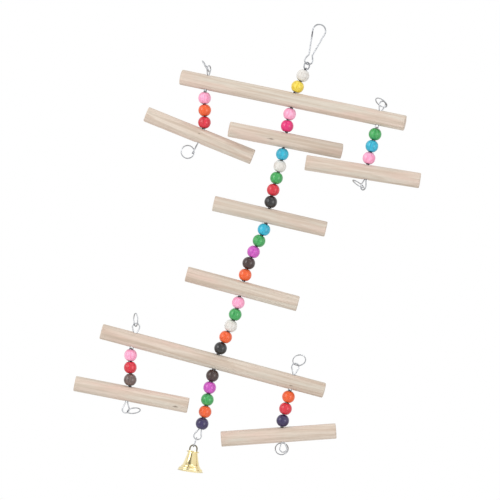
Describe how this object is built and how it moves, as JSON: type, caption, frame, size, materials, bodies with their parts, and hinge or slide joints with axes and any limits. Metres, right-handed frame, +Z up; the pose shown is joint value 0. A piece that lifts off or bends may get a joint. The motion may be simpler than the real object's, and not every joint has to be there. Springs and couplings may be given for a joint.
{
  "type": "hanging bird toy",
  "caption": "Hanging bird toy: wooden dowel perches and stained beads on a wire link chain with side strands, a snap hook above and a small bell below.",
  "frame": {"origin": "the hanging point, at the inside top of the snap hook", "axes": "+Z up along the plumb line, X along the perches, -Y towards the viewer of the picture"},
  "size_m": [0.2208, 0.0367, 0.3647],
  "materials": {
    "hook_steel": "bright zinc-plated spring wire",
    "ring_steel": "dull plated wire",
    "chain_zinc": "bright zinc-plated wire",
    "perch_wood": "bare sanded hardwood",
    "bell_brass": "polished plating",
    "handle_brass": "dull brassed wire",
    "clapper_steel": "dull plated",
    "stain_white": "glossy stained wood",
    "stain_yellow": "glossy stained wood",
    "stain_pink": "glossy stained wood",
    "stain_magenta": "glossy stained wood",
    "stain_blue": "glossy stained wood",
    "stain_green": "glossy stained wood",
    "stain_red": "glossy stained wood",
    "stain_black": "glossy stained wood",
    "stain_purple": "glossy stained wood",
    "stain_brown": "glossy stained wood",
    "stain_orange": "glossy stained wood",
    "stain_violet": "glossy stained wood",
    "stain_grey": "glossy stained wood"
  },
  "bodies": {
    "hook": {"snap_hook": "hook_steel"},
    "ring": {"hook_ring": "ring_steel"},
    "strand_1": {"strand_1_links": "chain_zinc"},
    "strand_2": {"strand_2_links": "chain_zinc"},
    "strand_3": {"strand_3_links": "chain_zinc"},
    "strand_4": {"strand_4_links": "chain_zinc"},
    "top_perch": {"top_perch": "perch_wood", "top_perch_links": "chain_zinc"},
    "lower_perch": {"lower_perch": "perch_wood", "lower_perch_links": "chain_zinc"},
    "upper_middle_perch": {"upper_middle_perch": "perch_wood"},
    "third_perch": {"third_perch": "perch_wood"},
    "fourth_perch": {"fourth_perch": "perch_wood"},
    "upper_left_perch": {"upper_left_perch": "perch_wood"},
    "upper_right_perch": {"upper_right_perch": "perch_wood"},
    "lower_left_perch": {"lower_left_perch": "perch_wood"},
    "lower_right_perch": {"lower_right_perch": "perch_wood"},
    "upper_left_strand": {"upper_left_links": "chain_zinc"},
    "upper_right_strand": {"upper_right_links": "chain_zinc"},
    "lower_left_strand": {"lower_left_links": "chain_zinc"},
    "lower_right_strand": {"lower_right_links": "chain_zinc"},
    "bead_01": {"bead_01_white": "stain_white"},
    "bead_02": {"bead_02_yellow": "stain_yellow"},
    "bead_03": {"bead_03_pink": "stain_pink"},
    "bead_04": {"bead_04_magenta": "stain_magenta"},
    "bead_05": {"bead_05_blue": "stain_blue"},
    "bead_06": {"bead_06_white": "stain_white"},
    "bead_07": {"bead_07_green": "stain_green"},
    "bead_08": {"bead_08_red": "stain_red"},
    "bead_09": {"bead_09_black": "stain_black"},
    "bead_10": {"bead_10_blue": "stain_blue"},
    "bead_11": {"bead_11_green": "stain_green"},
    "bead_12": {"bead_12_purple": "stain_purple"},
    "bead_13": {"bead_13_brown": "stain_brown"},
    "bead_14": {"bead_14_orange": "stain_orange"},
    "bead_15": {"bead_15_pink": "stain_pink"},
    "bead_16": {"bead_16_green": "stain_green"},
    "bead_17": {"bead_17_white": "stain_white"},
    "bead_18": {"bead_18_orange": "stain_orange"},
    "bead_19": {"bead_19_black": "stain_black"},
    "bead_20": {"bead_20_brown": "stain_brown"},
    "bead_21": {"bead_21_purple": "stain_purple"},
    "bead_22": {"bead_22_green": "stain_green"},
    "bead_23": {"bead_23_orange": "stain_orange"},
    "bead_24": {"bead_24_violet": "stain_violet"},
    "bead_25": {"bead_25_pink": "stain_pink"},
    "bead_26": {"bead_26_orange": "stain_orange"},
    "bead_27": {"bead_27_red": "stain_red"},
    "bead_28": {"bead_28_green": "stain_green"},
    "bead_29": {"bead_29_blue": "stain_blue"},
    "bead_30": {"bead_30_pink": "stain_pink"},
    "bead_31": {"bead_31_pink": "stain_pink"},
    "bead_32": {"bead_32_red": "stain_red"},
    "bead_33": {"bead_33_grey": "stain_grey"},
    "bead_34": {"bead_34_orange": "stain_orange"},
    "bead_35": {"bead_35_red": "stain_red"},
    "bead_36": {"bead_36_violet": "stain_violet"},
    "bell": {"bell_shell": "bell_brass", "bell_handle": "handle_brass"},
    "clapper": {"bell_clapper": "clapper_steel"}
  },
  "joints": [
    {"name": "hook_ring_swing", "type": "hinge", "parent": "hook", "child": "ring", "pos_m": [-0.00251, 0, -0.03195], "axis": [0.9969, 0, -0.0785], "range_deg": [-20, 20]},
    {"name": "strand_1_swing", "type": "hinge", "parent": "ring", "child": "strand_1", "pos_m": [-0.00263, 0, -0.03635], "axis": [0.7071, 0.7071, 0], "range_deg": [-25, 25]},
    {"name": "strand_2_swing", "type": "hinge", "parent": "strand_1", "child": "strand_2", "pos_m": [-0.00381, 0, -0.09942], "axis": [0.8179, -0.5689, 0.086], "range_deg": [-15, 15]},
    {"name": "strand_3_swing", "type": "hinge", "parent": "strand_2", "child": "strand_3", "pos_m": [-0.00142, 0, -0.15987], "axis": [0.4223, 0.9057, -0.0369], "range_deg": [-20, 10]},
    {"name": "strand_4_swing", "type": "hinge", "parent": "strand_3", "child": "strand_4", "pos_m": [-0.00683, 0, -0.21999], "axis": [0.9613, -0.2671, 0.0672], "range_deg": [-15, 15]},
    {"name": "bell_swing", "type": "hinge", "parent": "strand_4", "child": "bell", "pos_m": [-0.01104, 0, -0.34277], "axis": [0, 1, 0], "range_deg": [-25, 25]},
    {"name": "clapper_swing", "type": "hinge", "parent": "bell", "child": "clapper", "pos_m": [-0.01017, -0.00095, -0.3489], "axis": [0.9925, 0, 0.1219], "range_deg": [-15, 15]},
    {"name": "top_perch_turn", "type": "hinge", "parent": "strand_1", "child": "top_perch", "pos_m": [-0.00596, 0, -0.06193], "axis": [-0.0523, 0, 0.9986], "range_deg": [-35, 10]},
    {"name": "lower_perch_turn", "type": "hinge", "parent": "strand_4", "child": "lower_perch", "pos_m": [-0.01128, 0, -0.27437], "axis": [0, 0, 1], "range_deg": [-35, 35]},
    {"name": "upper_left_swing", "type": "hinge", "parent": "top_perch", "child": "upper_left_strand", "pos_m": [-0.07427, 0.00967, -0.07364], "axis": [0.6321, 0.7741, 0.0331], "range_deg": [-7, 28]},
    {"name": "upper_right_swing", "type": "hinge", "parent": "top_perch", "child": "upper_right_strand", "pos_m": [0.06224, -0.00953, -0.06719], "axis": [-0.9498, -0.309, -0.0498], "range_deg": [-7, 25]},
    {"name": "lower_left_swing", "type": "hinge", "parent": "lower_perch", "child": "lower_left_strand", "pos_m": [-0.07762, -0.00464, -0.28229], "axis": [1, -0.0079, 0], "range_deg": [-18, 18]},
    {"name": "lower_right_swing", "type": "hinge", "parent": "lower_perch", "child": "lower_right_strand", "pos_m": [0.05007, 0.00429, -0.28209], "axis": [0.9955, -0.0951, 0], "range_deg": [-18, 18]},
    {"name": "upper_middle_perch_turn", "type": "hinge", "parent": "strand_1", "child": "upper_middle_perch", "pos_m": [-0.00419, 0, -0.09365], "axis": [-0.0698, 0, 0.9976], "continuous": true},
    {"name": "third_perch_turn", "type": "hinge", "parent": "strand_2", "child": "third_perch", "pos_m": [-0.00169, 0, -0.1541], "axis": [-0.0349, 0, 0.9994], "continuous": true},
    {"name": "fourth_perch_turn", "type": "hinge", "parent": "strand_3", "child": "fourth_perch", "pos_m": [-0.00679, 0, -0.21421], "axis": [0, 0, 1], "continuous": true},
    {"name": "upper_left_perch_turn", "type": "hinge", "parent": "upper_left_strand", "child": "upper_left_perch", "pos_m": [-0.06863, 0.00967, -0.10727], "axis": [0.1219, 0, 0.9925], "continuous": true},
    {"name": "upper_right_perch_turn", "type": "hinge", "parent": "upper_right_strand", "child": "upper_right_perch", "pos_m": [0.06354, -0.00953, -0.10163], "axis": [-0.1045, 0, 0.9945], "continuous": true},
    {"name": "lower_left_perch_turn", "type": "hinge", "parent": "lower_left_strand", "child": "lower_left_perch", "pos_m": [-0.07072, -0.00464, -0.316], "axis": [-0.0698, 0, 0.9976], "continuous": true},
    {"name": "lower_right_perch_turn", "type": "hinge", "parent": "lower_right_strand", "child": "lower_right_perch", "pos_m": [0.05347, 0.00429, -0.31616], "axis": [-0.3256, 0, 0.9455], "continuous": true},
    {"name": "spin_bead_01", "type": "hinge", "parent": "strand_1", "child": "bead_01", "pos_m": [-0.00364, 0, -0.04147], "axis": [0.1736, 0, 0.9848], "continuous": true},
    {"name": "spin_bead_02", "type": "hinge", "parent": "strand_1", "child": "bead_02", "pos_m": [-0.00538, 0, -0.05089], "axis": [0.1908, 0, 0.9816], "continuous": true},
    {"name": "spin_bead_03", "type": "hinge", "parent": "strand_1", "child": "bead_03", "pos_m": [-0.0058, 0, -0.07305], "axis": [0.0349, 0, 0.9994], "continuous": true},
    {"name": "spin_bead_04", "type": "hinge", "parent": "strand_1", "child": "bead_04", "pos_m": [-0.0053, 0, -0.08258], "axis": [-0.1392, 0, 0.9903], "continuous": true},
    {"name": "spin_bead_05", "type": "hinge", "parent": "strand_2", "child": "bead_05", "pos_m": [-0.00325, 0, -0.10475], "axis": [-0.1045, 0, 0.9945], "continuous": true},
    {"name": "spin_bead_06", "type": "hinge", "parent": "strand_2", "child": "bead_06", "pos_m": [-0.00266, 0, -0.1143], "axis": [-0.0175, 0, 0.9998], "continuous": true},
    {"name": "spin_bead_07", "type": "hinge", "parent": "strand_2", "child": "bead_07", "pos_m": [-0.00283, 0, -0.12387], "axis": [0.0523, 0, 0.9986], "continuous": true},
    {"name": "spin_bead_08", "type": "hinge", "parent": "strand_2", "child": "bead_08", "pos_m": [-0.00291, 0, -0.13343], "axis": [-0.0349, 0, 0.9994], "continuous": true},
    {"name": "spin_bead_09", "type": "hinge", "parent": "strand_2", "child": "bead_09", "pos_m": [-0.00233, 0, -0.14299], "axis": [-0.0872, 0, 0.9962], "continuous": true},
    {"name": "spin_bead_10", "type": "hinge", "parent": "strand_3", "child": "bead_10", "pos_m": [-0.00189, 0, -0.16522], "axis": [0.0872, 0, 0.9962], "continuous": true},
    {"name": "spin_bead_11", "type": "hinge", "parent": "strand_3", "child": "bead_11", "pos_m": [-0.0033, 0, -0.17467], "axis": [0.2079, 0, 0.9781], "continuous": true},
    {"name": "spin_bead_12", "type": "hinge", "parent": "strand_3", "child": "bead_12", "pos_m": [-0.00521, 0, -0.18405], "axis": [0.1908, 0, 0.9816], "continuous": true},
    {"name": "spin_bead_13", "type": "hinge", "parent": "strand_3", "child": "bead_13", "pos_m": [-0.00654, 0, -0.19352], "axis": [0.0872, 0, 0.9962], "continuous": true},
    {"name": "spin_bead_14", "type": "hinge", "parent": "strand_3", "child": "bead_14", "pos_m": [-0.00687, 0, -0.20308], "axis": [-0.0175, 0, 0.9998], "continuous": true},
    {"name": "spin_bead_15", "type": "hinge", "parent": "strand_4", "child": "bead_15", "pos_m": [-0.00645, 0, -0.22534], "axis": [-0.0698, 0, 0.9976], "continuous": true},
    {"name": "spin_bead_16", "type": "hinge", "parent": "strand_4", "child": "bead_16", "pos_m": [-0.00637, 0, -0.2349], "axis": [0.0523, 0, 0.9986], "continuous": true},
    {"name": "spin_bead_17", "type": "hinge", "parent": "strand_4", "child": "bead_17", "pos_m": [-0.00737, 0, -0.24441], "axis": [0.1564, 0, 0.9877], "continuous": true},
    {"name": "spin_bead_18", "type": "hinge", "parent": "strand_4", "child": "bead_18", "pos_m": [-0.00903, 0, -0.25384], "axis": [0.1908, 0, 0.9816], "continuous": true},
    {"name": "spin_bead_19", "type": "hinge", "parent": "strand_4", "child": "bead_19", "pos_m": [-0.01061, 0, -0.26328], "axis": [0.1392, 0, 0.9903], "continuous": true},
    {"name": "spin_bead_20", "type": "hinge", "parent": "strand_4", "child": "bead_20", "pos_m": [-0.01119, 0, -0.2855], "axis": [-0.0175, 0, 0.9998], "continuous": true},
    {"name": "spin_bead_21", "type": "hinge", "parent": "strand_4", "child": "bead_21", "pos_m": [-0.01086, 0, -0.29507], "axis": [-0.0523, 0, 0.9986], "continuous": true},
    {"name": "spin_bead_22", "type": "hinge", "parent": "strand_4", "child": "bead_22", "pos_m": [-0.01019, 0, -0.30462], "axis": [-0.0872, 0, 0.9962], "continuous": true},
    {"name": "spin_bead_23", "type": "hinge", "parent": "strand_4", "child": "bead_23", "pos_m": [-0.00944, 0, -0.31417], "axis": [-0.0698, 0, 0.9976], "continuous": true},
    {"name": "spin_bead_24", "type": "hinge", "parent": "strand_4", "child": "bead_24", "pos_m": [-0.00927, 0, -0.32373], "axis": [0.0349, 0, 0.9994], "continuous": true},
    {"name": "spin_bead_25", "type": "hinge", "parent": "upper_left_strand", "child": "bead_25", "pos_m": [-0.0733, 0.00967, -0.07775], "axis": [-0.2079, 0, 0.9781], "continuous": true},
    {"name": "spin_bead_26", "type": "hinge", "parent": "upper_left_strand", "child": "bead_26", "pos_m": [-0.07075, 0.00967, -0.08696], "axis": [-0.3256, 0, 0.9455], "continuous": true},
    {"name": "spin_bead_27", "type": "hinge", "parent": "upper_left_strand", "child": "bead_27", "pos_m": [-0.06852, 0.00967, -0.09623], "axis": [-0.1392, 0, 0.9903], "continuous": true},
    {"name": "spin_bead_28", "type": "hinge", "parent": "upper_right_strand", "child": "bead_28", "pos_m": [0.06229, -0.00953, -0.0714], "axis": [-0.0175, 0, 0.9998], "continuous": true},
    {"name": "spin_bead_29", "type": "hinge", "parent": "upper_right_strand", "child": "bead_29", "pos_m": [0.06229, -0.00953, -0.08098], "axis": [0.0175, 0, 0.9998], "continuous": true},
    {"name": "spin_bead_30", "type": "hinge", "parent": "upper_right_strand", "child": "bead_30", "pos_m": [0.06254, -0.00953, -0.09054], "axis": [-0.0698, 0, 0.9976], "continuous": true},
    {"name": "spin_bead_31", "type": "hinge", "parent": "lower_left_strand", "child": "bead_31", "pos_m": [-0.07679, -0.00464, -0.28643], "axis": [-0.1736, 0, 0.9848], "continuous": true},
    {"name": "spin_bead_32", "type": "hinge", "parent": "lower_left_strand", "child": "bead_32", "pos_m": [-0.07455, -0.00464, -0.29573], "axis": [-0.2924, 0, 0.9563], "continuous": true},
    {"name": "spin_bead_33", "type": "hinge", "parent": "lower_left_strand", "child": "bead_33", "pos_m": [-0.07216, -0.00464, -0.30499], "axis": [-0.2079, 0, 0.9781], "continuous": true},
    {"name": "spin_bead_34", "type": "hinge", "parent": "lower_right_strand", "child": "bead_34", "pos_m": [0.05041, 0.00429, -0.28629], "axis": [-0.0698, 0, 0.9976], "continuous": true},
    {"name": "spin_bead_35", "type": "hinge", "parent": "lower_right_strand", "child": "bead_35", "pos_m": [0.05057, 0.00429, -0.29585], "axis": [0.0349, 0, 0.9994], "continuous": true},
    {"name": "spin_bead_36", "type": "hinge", "parent": "lower_right_strand", "child": "bead_36", "pos_m": [0.05091, 0.00429, -0.3054], "axis": [-0.1045, 0, 0.9945], "continuous": true}
  ]
}
